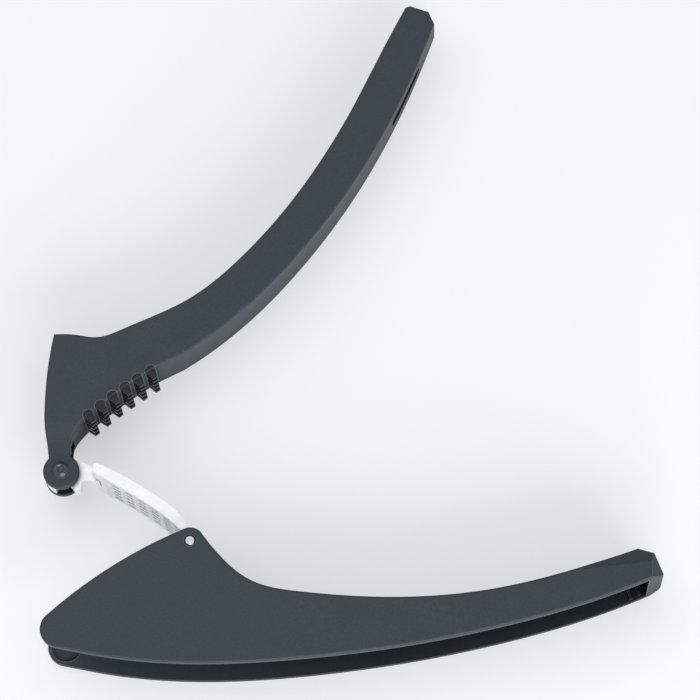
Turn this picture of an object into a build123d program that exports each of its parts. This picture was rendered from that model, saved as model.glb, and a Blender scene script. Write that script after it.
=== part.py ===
from build123d import *
import math
import os

# Garlic press lying open on its side. All sizes are in millimetres.
# Shapes are drawn in the side view (XY) about the sieve hinge axis, with the
# mid-plane of the press at Z = 0, and are moved to the final frame at the end.

# ---- the chain of two hinges ----
LINK_LENGTH = 48.7            # sieve hinge to pivot axle, and to the nose
LINK_ANGLE = 148.7            # direction of the open link from the sieve hinge
CLOSING_TURN = 66.0           # turn that brings the link into the lower handle

# ---- widths across the press ----
LOWER_WIDTH = 27.3            # lower handle at its head
LOWER_GRIP = 25.4             # lower handle along its grip
LOWER_WALL = 2.4              # its side walls
LOWER_TOP = 2.4               # its top wall
LINK_WIDTH = 20.8             # sieve frame across the flanges
FLANGE = 1.0                  # flange thickness
HEAD_WIDTH = 16.4             # upper handle's head
TIP_WIDTH = 11.2              # upper handle at its tip
EAR_WIDTH = 10.6              # across both ears
EAR_GAP = 6.0                 # between the ears
CLIP_WIDTH = 5.6              # the sieve frame's clip

# ---- round features ----
NOSE_RADIUS = 5.85
HINGE_EAR_RADIUS = 4.3        # lower handle's corner round the sieve hinge
PIN_RADIUS = 1.5
PIN_SINK_RADIUS = 1.9         # shallow sink round each pin end
PIN_SINK_DEPTH = 0.5
BARREL_RADIUS = 3.9
EAR_RADIUS = 5.7
AXLE_RADIUS = 2.0
RUNNING_FIT = 0.05
CAP_RADIUS = 2.8
CAP_HEIGHT = 2.0
CAP_DIMPLE_RADIUS = 1.5
CAP_DIMPLE_DEPTH = 0.6
CLIP_RADIUS = 5.5
CLIP_SLOT_RADIUS = 11.0       # room for the clip's arm in the upper handle
SOCKET_RADIUS = 4.7           # round recess in each side wall at the nose
SOCKET_DEPTH = 0.8

# ---- sieve and cleaning comb ----
COLUMNS = 6
ROWS = 5
COLUMN_PITCH = 4.85
ROW_PITCH = 3.35
SLOT_LENGTH = 3.0
SLOT_WIDTH = 1.5
PLATE_THICKNESS = 1.0
FIRST_COLUMN = 8.0            # first column of slots, along the plate
FIRST_COMB_ROW = 2.1          # first comb row, along the comb face
BLADE_ROOT = (3.6, 1.9)       # a pin's root, along the face and across it
BLADE_SINK = 0.6              # how far its root is inside the bar
BLADE_TIP = (1.7, 1.2)
BLADE_LENGTH = 2.7
COMB_BAR_WIDTH = 3.7
COMB_BAR_DEPTH = 1.6

# ---- hang slot ----
HANG_LENGTH = 22.0
HANG_WIDTH = 4.4

FAR = 300.0                   # long enough to cut through anything


def polar(radius, degrees):
    angle = math.radians(degrees)
    return Vector(radius * math.cos(angle), radius * math.sin(angle))


PIVOT = polar(LINK_LENGTH, LINK_ANGLE)
NOSE = polar(LINK_LENGTH, LINK_ANGLE + CLOSING_TURN)


def slab(face, width):
    """A side-view face made into a solid of this width about the mid-plane."""
    return extrude(face, amount=width / 2, both=True)


def outline(*edges):
    return make_face(Wire(list(edges)))


def plan_solid(plane, *edges):
    """A tall solid whose plan is this half outline and its mirror image."""
    half = outline(*edges)
    return extrude(plane * (half + mirror(half, about=Plane.XZ)), amount=FAR, both=True)


def rod(centre, radius, width):
    return slab(Pos(centre.X, centre.Y) * Circle(radius), width)


def rim_edges(solid):
    """The edges round both side faces, without the cross edges and the seams."""
    across = solid.edges().filter_by(Axis.Z, reverse=True)
    return across.filter_by(Axis.Y, reverse=True)


# ---------------------------------------------------------------- lower handle

LOWER_TOP_POINTS = [(3.3, 2.9), (9.4, -4.8), (18.7, -12.5), (34.2, -16.3),
                    (58.5, -18.0), (89.7, -16.2), (114.5, -10.7), (138.8, -2.5)]
LOWER_BOTTOM_POINTS = [(146.0, -11.0), (127.3, -18.4), (96.0, -27.4), (64.9, -33.6),
                       (33.8, -37.4), (8.0, -38.8), (-29.0, -35.9)]
TIP_CORNER = (143.7, -4.2)
TIP_END = (146.7, -10.3)
TIP_CHAMFER_START = 143.0     # where the tip's corners are cut, seen from above
CHANNEL_END = 142.1
TIP_NARROWING = 1.2           # how much the grip has narrowed at the ribs
TIP_RIB_WIDTH = 0.8
TIP_RIB_HEIGHT = 0.7
TIP_RIB_TILT = 20.5           # how far the handle rises at its tip
RIM_RADIUS = 0.7


def lower_top_edge():
    return Spline(*LOWER_TOP_POINTS)


def lower_profile():
    """The closed side outline, from the hinge corner round by the tip."""
    top = lower_top_edge()
    tip = Polyline(LOWER_TOP_POINTS[-1], TIP_CORNER, TIP_END, LOWER_BOTTOM_POINTS[0])
    bottom = Spline(*LOWER_BOTTOM_POINTS)
    nose_low = NOSE + polar(NOSE_RADIUS, 262)
    nose_high = NOSE + polar(NOSE_RADIUS, 127)
    nose = ThreePointArc(nose_low, NOSE + polar(NOSE_RADIUS, 195), nose_high)
    underside = Line(LOWER_BOTTOM_POINTS[-1], nose_low)
    corner_start = polar(HINGE_EAR_RADIUS, 115)
    brow = ThreePointArc(nose_high, (-21.6, -6.4), corner_start)
    corner = ThreePointArc(corner_start, polar(HINGE_EAR_RADIUS, 78), LOWER_TOP_POINTS[0])
    return outline(top, *tip.edges(), bottom, underside, nose, brow, corner)


def lower_plan(inset):
    """The handle's plan outline: straight, then slimmer, with cut tip corners."""
    head = LOWER_WIDTH / 2 - inset
    grip = LOWER_GRIP / 2 - inset
    start = Line((-80, head), (22, head))
    taper = Spline((22, head), (50, grip + 0.4), (80, grip), (128, grip - 0.4),
                   (TIP_CHAMFER_START, grip - 0.7), tangents=[(1, 0), (1, -0.03)])
    corner = Line((TIP_CHAMFER_START, grip - 0.7), (150, grip - 8.4))
    close = Polyline((150, grip - 8.4), (150, 0), (-80, 0), (-80, head))
    return plan_solid(Plane.XZ, start, taper, corner, *close.edges())


def tip_facets():
    """Wide sloping facets along the tip's upper edges, one on each side."""
    slope = Plane(origin=(139, -7.4, LOWER_GRIP / 2 - 0.7), x_dir=(1, 0, 0.04),
                  z_dir=(-0.034, 0.406, 0.913))
    room = Box(70, 60, 20, align=(Align.CENTER, Align.CENTER, Align.MIN))
    facet = slope.location * room
    return facet + mirror(facet, about=Plane.XY)


def offset_points(edge, distance, start, count):
    """Points at a distance to the right of an edge, from a share of its length."""
    shares = [start + (1 - start) * i / (count - 1) for i in range(count)]
    return [edge.position_at(s) + edge.tangent_at(s).rotate(Axis.Z, -90) * distance
            for s in shares]


def lower_cavity():
    """The channel between the side walls: open below, and above at the head."""
    roof = Spline(*offset_points(lower_top_edge(), LOWER_TOP, 0.03, 9))
    first = roof.position_at(0)
    last = roof.position_at(1)
    rim = Polyline(last, (CHANNEL_END, -7.5), (CHANNEL_END, -60), (-60, -60), (-60, 40),
                   (0, 40), first)
    channel = outline(roof, *rim.edges())
    head_room = Circle(BARREL_RADIUS + 2.0)
    cut = slab(channel, FAR) + slab(head_room, FAR)
    return cut & lower_plan(LOWER_WALL)


def tip_ribs(cavity):
    """Two low ridges near the tip on each side wall's inner face, square to the handle."""
    inner = LOWER_GRIP - TIP_NARROWING - 2 * LOWER_WALL
    ribs = []
    for x, low in ((137.5, -13.7), (140.1, -12.4)):
        rib = Box(TIP_RIB_WIDTH, 8, FAR, align=(Align.CENTER, Align.MIN, Align.CENTER))
        rib -= Box(20, 40, inner - 2 * TIP_RIB_HEIGHT)
        ribs.append((Pos(x, low) * Rot(0, 0, TIP_RIB_TILT) * rib) & cavity)
    return ribs


def lower_blank():
    body = slab(lower_profile(), FAR) & lower_plan(0)
    body -= tip_facets()
    grip_rim = rim_edges(body).filter_by(lambda e: e.center().X < 120)
    return fillet(grip_rim, RIM_RADIUS)


def lower_handle():
    body = lower_blank()
    cavity = lower_cavity()
    body -= cavity
    for rib in tip_ribs(cavity):
        body += rib
    inner = LOWER_WIDTH - 2 * LOWER_WALL
    body -= rod(NOSE, SOCKET_RADIUS, inner + 2 * SOCKET_DEPTH)
    body -= rod(Vector(0, 0), PIN_RADIUS, FAR)
    for side in (1, -1):
        sink = Pos(0, 0, side * LOWER_WIDTH / 2) * Cylinder(PIN_SINK_RADIUS, 2 * PIN_SINK_DEPTH)
        body -= sink
    return body


def sieve_hinge_pin():
    pin = Cylinder(PIN_RADIUS, LOWER_WIDTH - 0.1)
    return chamfer(pin.edges(), 0.2)


# ---------------------------------------------------------------- sieve link

FLANGE_TOP_POINTS = [(-31.0, 26.5), (-25.6, 24.2), (-16.1, 18.7), (-6.6, 12.2), (-0.2, 5.3)]
FLANGE_LOW_POINTS = [(-31.0, 23.4), (-20.8, 17.4), (-12.5, 12.1), (-3.3, 4.5)]
HEEL = (2.4, 3.3)


def flange_low_edge():
    return Spline(*FLANGE_LOW_POINTS)


def frame_profile():
    top = Spline(*FLANGE_TOP_POINTS)
    low = flange_low_edge()
    heel = Polyline(FLANGE_TOP_POINTS[-1], HEEL, (0, 0), FLANGE_LOW_POINTS[-1])
    end = Line(FLANGE_LOW_POINTS[0], FLANGE_TOP_POINTS[0])
    return outline(top, *heel.edges(), low, end) + Circle(BARREL_RADIUS)


def plate_point(distance, height):
    """A point above the sieve's chamber face, at a distance along it."""
    edge = flange_low_edge()
    share = distance / edge.length
    point = edge.position_at(share)
    return point + edge.tangent_at(share).rotate(Axis.Z, 90) * height


PLATE_START = 3.6
PLATE_END = 33.6


def plate_band(low, high):
    """A curved strip of the link between two heights above its chamber face."""
    count = 5
    step = (PLATE_END - PLATE_START) / (count - 1)
    stations = [PLATE_START + i * step for i in range(count)]
    under = Spline(*[plate_point(s, low) for s in stations])
    over = Spline(*[plate_point(s, high) for s in stations])
    return outline(under, Line(under @ 1, over @ 1), over, Line(over @ 0, under @ 0))


def clip_profile():
    """The C-shaped clip round the pivot axle, with its arm to the frame."""
    place = Pos(PIVOT.X, PIVOT.Y)
    shoulder = Spline((2.4, 4.9), (6.0, 3.6), (8.2, 2.6), (12.0, 0.6))
    low = Polyline((12.0, 0.6), (12.0, -3.0), (7.6, -2.5))
    throat = ThreePointArc((7.6, -2.5), (6.6, -2.9), (6.1, -3.8))
    lobe = ThreePointArc((6.1, -3.8), (4.9, -5.9), (3.3, -4.4))
    close = Line((3.3, -4.4), (2.4, 4.9))
    arm = outline(shoulder, *low.edges(), throat, lobe, close)
    mouth_points = [(0, 0), polar(12, 250), polar(12, 307)]
    mouth = make_face(Polyline(*mouth_points, close=True))
    return place * (Circle(CLIP_RADIUS) + arm - mouth - Circle(AXLE_RADIUS + RUNNING_FIT))


def sieve_frame():
    body = slab(frame_profile(), LINK_WIDTH)
    ends = body.edges().filter_by(Axis.Z).filter_by(lambda e: e.center().X < -30)
    body = fillet(ends, 0.8)
    trough = plate_band(-2.0, 6.0)
    body -= slab(trough, LINK_WIDTH - 2 * FLANGE)
    body += slab(clip_profile(), CLIP_WIDTH)
    bore = rod(Vector(0, 0), PIN_RADIUS + RUNNING_FIT, FAR)
    return body - bore


def sieve_plate():
    plate = slab(plate_band(0, PLATE_THICKNESS), LINK_WIDTH - 2 * FLANGE)
    edge = flange_low_edge()
    for column in range(COLUMNS):
        distance = FIRST_COLUMN + column * COLUMN_PITCH
        along = edge.tangent_at(distance / edge.length)
        middle = plate_point(distance, PLATE_THICKNESS / 2)
        plane = Plane(origin=middle, x_dir=along, z_dir=along.rotate(Axis.Z, 90))
        slots = GridLocations(COLUMN_PITCH, ROW_PITCH, 1, ROWS)
        cut = Sketch() + [place * SlotOverall(SLOT_LENGTH, SLOT_WIDTH) for place in slots]
        plate -= extrude(plane * cut, amount=2 * PLATE_THICKNESS, both=True)
    return plate


# ---------------------------------------------------------------- upper handle

COMB_FACE_START = Vector(-34.7, 41.5)
COMB_FACE_MIDDLE = Vector(-23.8, 50.5)
COMB_FACE_END = Vector(-12.2, 58.5)
CROWN = Vector(-23.8, 71.1)
CROWN_SLOPE = (0.9, 0.43)
UPPER_OUTER_POINTS = [(-2.6, 81.2), (14.0, 95.0), (31.3, 115.8), (48.5, 144.0), (67.7, 183.5)]
UPPER_UNDER_POINTS = [(77.2, 177.5), (66.8, 151.6), (51.6, 122.6), (31.6, 94.8),
                      (14.5, 76.8), (-4.3, 62.5)]
UPPER_TIP_POINTS = [(69.2, 184.1), (75.3, 182.0)]
NECK_LEFT = Vector(-45.6, 29.3)
NECK_RIGHT = Vector(-38.6, 31.3)
NECK_LOW = 32.3               # the head slims to the ears' width from here
NECK_HIGH = 43.3              # up to here


def comb_face():
    return ThreePointArc(COMB_FACE_START, COMB_FACE_MIDDLE, COMB_FACE_END)


def upper_profile():
    """The head and handle in side view, down to the neck above the ears."""
    back = Spline(NECK_LEFT, (-46.1, 33.3), (-46.9, 38.8), (-47.1, 45.3), (-46.5, 58.0),
                  (-44.8, 69.9))
    crown = Spline((-44.8, 69.9), (-38.1, 69.7), (-31.7, 68.8), CROWN,
                   tangents=[(1, 0), CROWN_SLOPE])
    outer = Spline(CROWN, *UPPER_OUTER_POINTS, tangents=[CROWN_SLOPE, (0.46, 0.89)])
    tip = Polyline(UPPER_OUTER_POINTS[-1], *UPPER_TIP_POINTS, UPPER_UNDER_POINTS[0])
    under = Spline(*UPPER_UNDER_POINTS)
    chin = Line(UPPER_UNDER_POINTS[-1], COMB_FACE_END)
    throat = Spline(COMB_FACE_START, (-36.8, 38.7), (-38.4, 35.3), NECK_RIGHT)
    foot = Polyline(NECK_RIGHT, (-40.0, 28.0), NECK_LEFT)
    return outline(back, crown, outer, *tip.edges(), under, chin, comb_face(), throat,
                   *foot.edges())


HANDLE_DIRECTION = Vector(0.619, 0.785)


def upper_plan():
    """The handle's taper, seen square to its length."""
    plane = Plane(origin=PIVOT, x_dir=HANDLE_DIRECTION,
                  z_dir=HANDLE_DIRECTION.rotate(Axis.Z, -90))
    head = HEAD_WIDTH / 2
    tip = TIP_WIDTH / 2
    edge = Polyline((-30, 0), (-30, head), (90, head), (165, head - 1.3),
                    (205, tip - 0.4), (205, 0), (-30, 0))
    return plan_solid(plane, *edge.edges())


def neck_plan():
    """The blend from the head's width down to the ears' width."""
    head = HEAD_WIDTH / 2
    ear = EAR_WIDTH / 2
    blend = Spline((NECK_LOW, ear), (NECK_HIGH, head), tangents=[(1, 0), (1, 0)])
    rest = Polyline((NECK_HIGH, head), (FAR, head), (FAR, 0), (-FAR, 0), (-FAR, ear),
                    (NECK_LOW, ear))
    plane = Plane(origin=(0, 0, 0), x_dir=(0, 1, 0), z_dir=(1, 0, 0))
    return plan_solid(plane, blend, *rest.edges())


def comb_place(row):
    """Where a comb row stands on the comb face, with local Z pointing out."""
    face = comb_face()
    share = (FIRST_COMB_ROW + row * COLUMN_PITCH) / face.length
    along = face.tangent_at(share)
    return Plane(origin=face.position_at(share), x_dir=along, z_dir=along.rotate(Axis.Z, -90))


def comb_bar(row):
    """The bar of one comb row: a round-topped strip set in the comb face."""
    half = COMB_BAR_WIDTH / 2
    flat = Polyline((-half, 0.3), (-half, -0.3), (half, -0.3), (half, 0.3))
    dome = ThreePointArc((half, 0.3), (0, COMB_BAR_DEPTH), (-half, 0.3))
    place = comb_place(row)
    section = Plane(origin=place.origin, x_dir=place.x_dir, z_dir=(0, 0, 1))
    return extrude(section * outline(*flat.edges(), dome), amount=FAR, both=True)


def upper_blank():
    profile = upper_profile() + Pos(PIVOT.X, PIVOT.Y) * Circle(EAR_RADIUS)
    body = slab(profile, FAR) & upper_plan() & neck_plan()
    return fillet(rim_edges(body), RIM_RADIUS)


def hang_slot():
    """A long slot through the handle near its tip, from edge to edge."""
    middle = Vector(67.6, 153.9)
    plane = Plane(origin=middle, x_dir=Vector(0.40, 0.92), z_dir=Vector(0.92, -0.40))
    return extrude(plane * SlotOverall(HANG_LENGTH, HANG_WIDTH), amount=20, both=True)


def upper_handle(blank):
    body = blank - rod(PIVOT, CLIP_SLOT_RADIUS, EAR_GAP)
    body -= rod(PIVOT, AXLE_RADIUS, FAR)
    body -= hang_slot()
    for row in range(COLUMNS):
        body -= comb_bar(row)
    return body


def blade():
    """One tapered cleaning pin, standing on the comb face."""
    root = Pos(0, 0, -BLADE_SINK) * Rectangle(*BLADE_ROOT)
    tip = Pos(0, 0, BLADE_LENGTH) * Rectangle(*BLADE_TIP)
    pin = loft([root, tip])
    return fillet(pin.faces().sort_by(Axis.Z)[-1].edges(), 0.25)


def comb_row(row, blank):
    """One comb strip: its bar, flush with the head, and five tapered pins."""
    strip = comb_bar(row) & blank
    place = comb_place(row)
    pin = blade()
    for spot in GridLocations(1, ROW_PITCH, 1, ROWS):
        strip += place.location * spot * pin
    return strip


def pivot_axle():
    return rod(PIVOT, AXLE_RADIUS, EAR_WIDTH)


def cap_ball(radius, height):
    """The radius of the ball whose cap has this rim radius and height."""
    return (radius ** 2 + height ** 2) / (2 * height)


def axle_cap(side):
    """A low dome with a dimple, on the outer face of one ear."""
    dome_ball = cap_ball(CAP_RADIUS, CAP_HEIGHT)
    dome = Pos(0, 0, CAP_HEIGHT - dome_ball) * Sphere(dome_ball)
    dimple_ball = cap_ball(CAP_DIMPLE_RADIUS, CAP_DIMPLE_DEPTH)
    rim = math.sqrt(dome_ball ** 2 - CAP_DIMPLE_RADIUS ** 2) + CAP_HEIGHT - dome_ball
    dimple = Pos(0, 0, rim - CAP_DIMPLE_DEPTH + dimple_ball) * Sphere(dimple_ball)
    room = Box(FAR, FAR, FAR, align=(Align.CENTER, Align.CENTER, Align.MIN))
    cap = (dome & room) - dimple
    if side < 0:
        cap = Rot(180, 0, 0) * cap
    return Pos(PIVOT.X, PIVOT.Y, side * EAR_WIDTH / 2) * cap


# ---------------------------------------------------------------- assembly

def all_parts():
    blank = upper_blank()
    parts = {
        "lower_handle": lower_handle(),
        "sieve_hinge_pin": sieve_hinge_pin(),
        "sieve_frame": sieve_frame(),
        "sieve_plate": sieve_plate(),
        "upper_handle": upper_handle(blank),
        "pivot_axle": pivot_axle(),
        "axle_cap_front": axle_cap(1),
        "axle_cap_rear": axle_cap(-1),
    }
    for row in range(COLUMNS):
        parts["comb_row_%d" % (row + 1)] = comb_row(row, blank)
    return parts


def to_frame(parts):
    """Origin under the middle of the whole object, resting on its side."""
    box = Compound(children=[part.moved(Location()) for part in parts.values()]).bounding_box()
    middle = (box.min + box.max) / 2
    shift = Pos(-middle.X, -middle.Y, -box.min.Z)
    return {name: shift * part for name, part in parts.items()}, shift


if __name__ == "__main__":
    os.makedirs("parts", exist_ok=True)
    placed, shift = to_frame(all_parts())
    for name, part in placed.items():
        export_step(part, "parts/%s.step" % name)
    hinge = shift.position
    pivot = hinge + PIVOT
    print("sieve hinge axis at X %.3f Y %.3f, mid-plane Z %.3f" % (hinge.X, hinge.Y, hinge.Z))
    print("pivot axle axis at X %.3f Y %.3f" % (pivot.X, pivot.Y))
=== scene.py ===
import math

import bpy
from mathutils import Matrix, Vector


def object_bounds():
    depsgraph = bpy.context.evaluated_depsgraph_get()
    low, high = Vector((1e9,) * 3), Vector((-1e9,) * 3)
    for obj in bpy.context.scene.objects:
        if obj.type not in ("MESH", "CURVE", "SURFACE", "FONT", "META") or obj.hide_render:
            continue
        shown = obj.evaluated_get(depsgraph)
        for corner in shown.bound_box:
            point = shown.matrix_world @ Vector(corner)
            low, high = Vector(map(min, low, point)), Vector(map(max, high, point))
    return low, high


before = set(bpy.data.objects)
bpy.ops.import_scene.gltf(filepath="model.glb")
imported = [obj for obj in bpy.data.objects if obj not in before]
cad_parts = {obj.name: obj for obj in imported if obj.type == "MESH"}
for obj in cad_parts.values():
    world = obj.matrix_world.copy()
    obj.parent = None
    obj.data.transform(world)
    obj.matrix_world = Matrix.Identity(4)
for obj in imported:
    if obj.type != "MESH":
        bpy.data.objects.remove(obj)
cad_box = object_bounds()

# ---------------------------------------------------------------- node helpers

def new_material(name):
    """A principled material, with its node tree ready to be added to."""
    material = bpy.data.materials.new(name)
    material.use_nodes = True
    tree = material.node_tree
    shader = next(n for n in tree.nodes if n.type == "BSDF_PRINCIPLED")
    return material, tree, shader


def add(tree, kind, **values):
    """Adds a node and sets its inputs by name, with _ for a space."""
    node = tree.nodes.new(kind)
    for name, value in values.items():
        node.inputs[name.replace("_", " ")].default_value = value
    return node


def object_point(tree):
    return add(tree, "ShaderNodeTexCoord").outputs["Object"]


def stretched(tree, point, stretch):
    mapping = add(tree, "ShaderNodeMapping", Scale=stretch)
    tree.links.new(point, mapping.inputs["Vector"])
    return mapping.outputs["Vector"]


def noise(tree, point, scale, detail=4.0, roughness=0.5):
    node = add(tree, "ShaderNodeTexNoise", Scale=scale, Detail=detail, Roughness=roughness)
    tree.links.new(point, node.inputs["Vector"])
    return node.outputs["Fac"]


def remap(tree, value, low, high, to_low, to_high):
    node = add(tree, "ShaderNodeMapRange", From_Min=low, From_Max=high, To_Min=to_low, To_Max=to_high)
    tree.links.new(value, node.inputs["Value"])
    return node.outputs["Result"]


def product(tree, first, second):
    node = tree.nodes.new("ShaderNodeMath")
    node.operation = "MULTIPLY"
    tree.links.new(first, node.inputs[0])
    tree.links.new(second, node.inputs[1])
    return node.outputs["Value"]


def mixed_colour(tree, share, first, second):
    """Mixes two colours, each of them a triple or another node's output."""
    node = tree.nodes.new("ShaderNodeMix")
    node.data_type = "RGBA"
    for socket, colour in (("A", first), ("B", second)):
        if isinstance(colour, tuple):
            node.inputs[socket].default_value = (*colour, 1)
        else:
            tree.links.new(colour, node.inputs[socket])
    tree.links.new(share, node.inputs["Factor"])
    return node.outputs["Result"]


def bump(tree, height, distance, strength, under=None):
    node = add(tree, "ShaderNodeBump", Strength=strength, Distance=distance)
    tree.links.new(height, node.inputs["Height"])
    if under is not None:
        tree.links.new(under, node.inputs["Normal"])
    return node.outputs["Normal"]


def edge_share(tree, radius, low, high):
    """0 on flat ground, up to 1 on an edge: how far a rounded normal leans from the real one."""
    rounded = add(tree, "ShaderNodeBevel", Radius=radius)
    rounded.samples = 6
    geometry = tree.nodes.new("ShaderNodeNewGeometry")
    dot = tree.nodes.new("ShaderNodeVectorMath")
    dot.operation = "DOT_PRODUCT"
    tree.links.new(rounded.outputs["Normal"], dot.inputs[0])
    tree.links.new(geometry.outputs["Normal"], dot.inputs[1])
    return remap(tree, dot.outputs["Value"], high, low, 0.0, 1.0)


def hollow_shade_share(tree, distance):
    """Share of painted shade: 1 deep in a hollow and 0 on open ground."""
    node = add(tree, "ShaderNodeAmbientOcclusion", Distance=distance)
    node.samples = 8
    return remap(tree, node.outputs["AO"], 0.15, 0.85, 1.0, 0.0)


# ---------------------------------------------------------------- materials

SLATE = (0.024, 0.034, 0.042)
SLATE_LIGHT = (0.034, 0.046, 0.056)
# Painted edge highlight colour, broken up by scuff noise like wear where it is used.
SLATE_EDGE_HIGHLIGHT = (0.20, 0.22, 0.24)
# Painted shade colours, laid into hollows and creases.
SLATE_HOLLOW_SHADE = (0.002, 0.003, 0.006)
STEEL_HOLLOW_SHADE = (0.015, 0.017, 0.022)
CAST_STEEL = (0.90, 0.91, 0.94)
SHEET_STEEL = (0.80, 0.83, 0.86)
PIN_STEEL = (0.60, 0.60, 0.63)
COMB_BLACK = (0.004, 0.006, 0.009)
COMB_DARK = (0.010, 0.013, 0.018)
# Painted highlight colour for the pin tips and edges.
COMB_EDGE_HIGHLIGHT = (0.09, 0.10, 0.12)
FLOOR_GREY = (0.44, 0.45, 0.46)
FLOOR_PALE = (0.47, 0.48, 0.49)
FLOOR_GLOW = (0.97, 0.985, 1.0)
FLOOR_GLOW_STRENGTH = 0.46


def handle_plastic():
    """Matte dark slate moulding: fine sand texture, faint mottling, painted highlights on the edges
    broken up like wear, and painted shade in hollows.
    """
    material, tree, shader = new_material("handle_shell")
    point = object_point(tree)
    grain = noise(tree, point, 2600, 2.0)
    cloud = noise(tree, point, 90, 5.0)
    fleck = remap(tree, noise(tree, point, 1500, 2.0, 0.7), 0.30, 0.70, 0.0, 1.0)
    mottle = product(tree, remap(tree, cloud, 0.3, 0.7, 0.7, 1.0), fleck)
    base = mixed_colour(tree, mottle, SLATE, SLATE_LIGHT)
    # Painted highlight along the edges, broken up by scuff noise like wear.
    scuffs = remap(tree, noise(tree, point, 320, 6.0, 0.65), 0.35, 0.65, 0.35, 1.0)
    edge_highlight_and_wear = product(tree, edge_share(tree, 0.0005, 0.80, 0.985), scuffs)
    base = mixed_colour(tree, edge_highlight_and_wear, base, SLATE_EDGE_HIGHLIGHT)
    # Painted shade: darkens the moulding in hollows and creases, and dims its specular there.
    painted_hollow_shade = hollow_shade_share(tree, 0.030)
    base = mixed_colour(tree, painted_hollow_shade, base, SLATE_HOLLOW_SHADE)
    tree.links.new(base, shader.inputs["Base Color"])
    tree.links.new(remap(tree, painted_hollow_shade, 0.0, 0.8, 0.35, 0.08), shader.inputs["Specular IOR Level"])
    tree.links.new(remap(tree, grain, 0.2, 0.8, 0.46, 0.60), shader.inputs["Roughness"])
    tree.links.new(bump(tree, grain, 0.00010, 0.5), shader.inputs["Normal"])
    return material


def cap_plastic():
    """The handles' moulding colour painted a little paler so the domes read as lit, polished enough
    to carry a highlight, with painted highlights on the edges.
    """
    material, tree, shader = new_material("cap")
    point = object_point(tree)
    grain = noise(tree, point, 1400, 3.0)
    # Painted light: a paler copy of the handle slate.
    base = mixed_colour(tree, grain, (0.030, 0.040, 0.049), (0.040, 0.052, 0.063))
    # Painted highlight along the cap edges.
    base = mixed_colour(tree, edge_share(tree, 0.0003, 0.80, 0.985), base, SLATE_EDGE_HIGHLIGHT)
    tree.links.new(base, shader.inputs["Base Color"])
    tree.links.new(remap(tree, grain, 0.3, 0.7, 0.20, 0.32), shader.inputs["Roughness"])
    tree.links.new(bump(tree, grain, 0.00003, 0.2), shader.inputs["Normal"])
    return material


def comb_plastic():
    """Near-black pins with a satin skin, painted highlights on their tips and edges and painted shade
    between them.
    """
    material, tree, shader = new_material("comb")
    point = object_point(tree)
    grain = noise(tree, point, 900, 3.0)
    base = mixed_colour(tree, grain, COMB_BLACK, COMB_DARK)
    # Painted highlight on the pin tips and edges.
    base = mixed_colour(tree, edge_share(tree, 0.0002, 0.80, 0.985), base, COMB_EDGE_HIGHLIGHT)
    # Painted shade between the pins.
    base = mixed_colour(tree, hollow_shade_share(tree, 0.004), base, (0.006, 0.007, 0.010))
    tree.links.new(base, shader.inputs["Base Color"])
    tree.links.new(remap(tree, grain, 0.3, 0.7, 0.28, 0.42), shader.inputs["Roughness"])
    tree.links.new(bump(tree, grain, 0.00003, 0.2), shader.inputs["Normal"])
    shader.inputs["Specular IOR Level"].default_value = 0.3
    return material


def steel(name, base, roughness, scale, stretch, metallic=1.0, shade_reach=0.0026):
    """Stainless steel: fine marks along one direction, small stains, painted shade in hollows."""
    material, tree, shader = new_material(name)
    point = object_point(tree)
    marks = noise(tree, stretched(tree, point, stretch), scale, 3.0, 0.6)
    stains = remap(tree, noise(tree, point, 160, 5.0, 0.6), 0.35, 0.65, 0.0, 0.35)
    dark = tuple(0.88 * c for c in base)
    colour = mixed_colour(tree, marks, dark, base)
    colour = mixed_colour(tree, stains, colour, tuple(0.86 * c for c in base))
    # Painted shade: darkens the steel in hollows and slots.
    colour = mixed_colour(tree, hollow_shade_share(tree, shade_reach), colour, STEEL_HOLLOW_SHADE)
    tree.links.new(colour, shader.inputs["Base Color"])
    shader.inputs["Metallic"].default_value = metallic
    satin = remap(tree, marks, 0.3, 0.7, roughness * 0.8, roughness * 1.25)
    tree.links.new(satin, shader.inputs["Roughness"])
    tree.links.new(bump(tree, marks, 0.00002, 0.25), shader.inputs["Normal"])
    return material


def floor_material():
    """A plain pale sweep that glows a little, as a backlit table does."""
    material, tree, shader = new_material("pale_floor")
    cloud = noise(tree, object_point(tree), 6, 3.0)
    base = mixed_colour(tree, cloud, FLOOR_GREY, FLOOR_PALE)
    tree.links.new(base, shader.inputs["Base Color"])
    shader.inputs["Roughness"].default_value = 0.7
    shader.inputs["Emission Color"].default_value = (*FLOOR_GLOW, 1)
    shader.inputs["Emission Strength"].default_value = FLOOR_GLOW_STRENGTH
    return material


def dress(material, *names):
    for name in names:
        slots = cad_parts[name].data.materials
        slots.clear()
        slots.append(material)


# ---------------------------------------------------------------- stage

CAMERA_DISTANCE = 1.07
CAMERA_LENS = 171.98
CAMERA_TILT = math.radians(18.671)
CAMERA_LEAN = math.radians(1.298)
AIM_FROM_MIDDLE = Vector((-0.00036, -0.00597, -0.00070))


def make_floor():
    bpy.ops.mesh.primitive_plane_add(size=8, location=(0, 0, 0))
    floor = bpy.context.object
    floor.name = "floor"
    floor.data.materials.append(floor_material())


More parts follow.
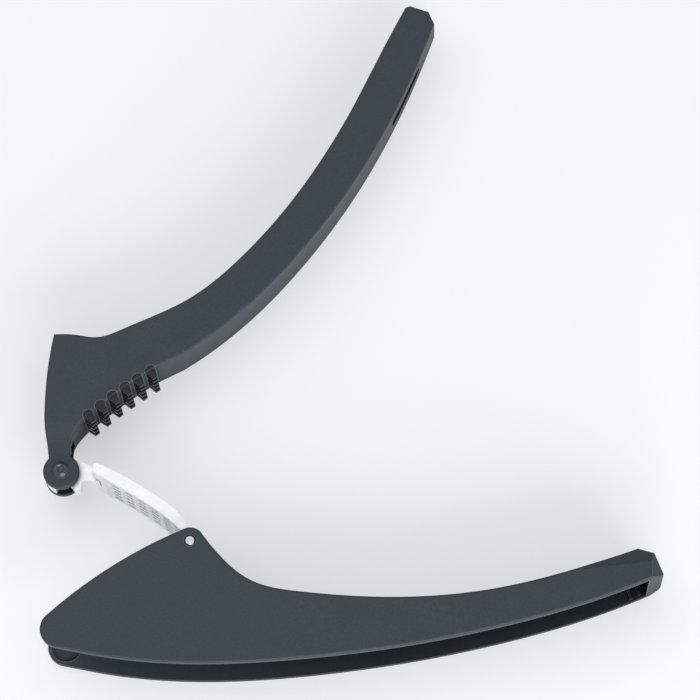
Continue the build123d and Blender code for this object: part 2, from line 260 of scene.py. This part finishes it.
def area_light(name, place, aim, size, watts, colour=(1, 1, 1)):
    data = bpy.data.lights.new(name, "AREA")
    data.shape = "RECTANGLE"
    data.size, data.size_y = size
    data.energy = watts
    data.color = colour
    light = bpy.data.objects.new(name, data)
    bpy.context.collection.objects.link(light)
    light.location = place
    light.rotation_euler = (Vector(aim) - Vector(place)).to_track_quat("-Z", "Y").to_euler()


def make_lights():
    scene = bpy.context.scene
    scene.view_settings.view_transform = "Standard"
    world = bpy.data.worlds.new("studio")
    scene.world = world
    world.use_nodes = True
    background = world.node_tree.nodes["Background"]
    background.inputs["Color"].default_value = (0.95, 0.975, 1.0, 1)
    background.inputs["Strength"].default_value = 0.55
    area_light("key", (-0.6, 0.5, 1.7), (0, 0, 0), (1.6, 1.6), 8.5)
    area_light("front", (0.5, -1.5, 0.7), (0, 0, 0), (1.6, 1.0), 30)


def make_camera():
    """Looks down at the press from above, leaning a little to its near side."""
    data = bpy.data.cameras.new("camera")
    camera = bpy.data.objects.new("camera", data)
    bpy.context.collection.objects.link(camera)
    bpy.context.scene.camera = camera
    data.sensor_width = 36
    data.lens = CAMERA_LENS
    camera.rotation_euler = (CAMERA_TILT, CAMERA_LEAN, 0)
    middle = (Vector(cad_box[0]) + Vector(cad_box[1])) / 2
    back = camera.rotation_euler.to_matrix() @ Vector((0, 0, 1))
    camera.location = middle + AIM_FROM_MIDDLE + CAMERA_DISTANCE * back


# ---------------------------------------------------------------- build

dress(handle_plastic(), "lower_handle", "upper_handle")
dress(cap_plastic(), "axle_cap_front", "axle_cap_rear")
dress(comb_plastic(), *["comb_row_%d" % row for row in range(1, 7)])
dress(steel("sieve_cast", CAST_STEEL, 0.46, 500, (1, 1, 6), metallic=0.75), "sieve_frame")
# The last argument sets how far the painted shade reaches into the slots.
sheet = steel("sieve_sheet", SHEET_STEEL, 0.42, 700, (6, 6, 1), metallic=0.75, shade_reach=0.0017)
dress(sheet, "sieve_plate")
dress(steel("pin_steel", PIN_STEEL, 0.42, 900, (1, 1, 1)), "sieve_hinge_pin", "pivot_axle")

make_floor()
make_lights()
make_camera()
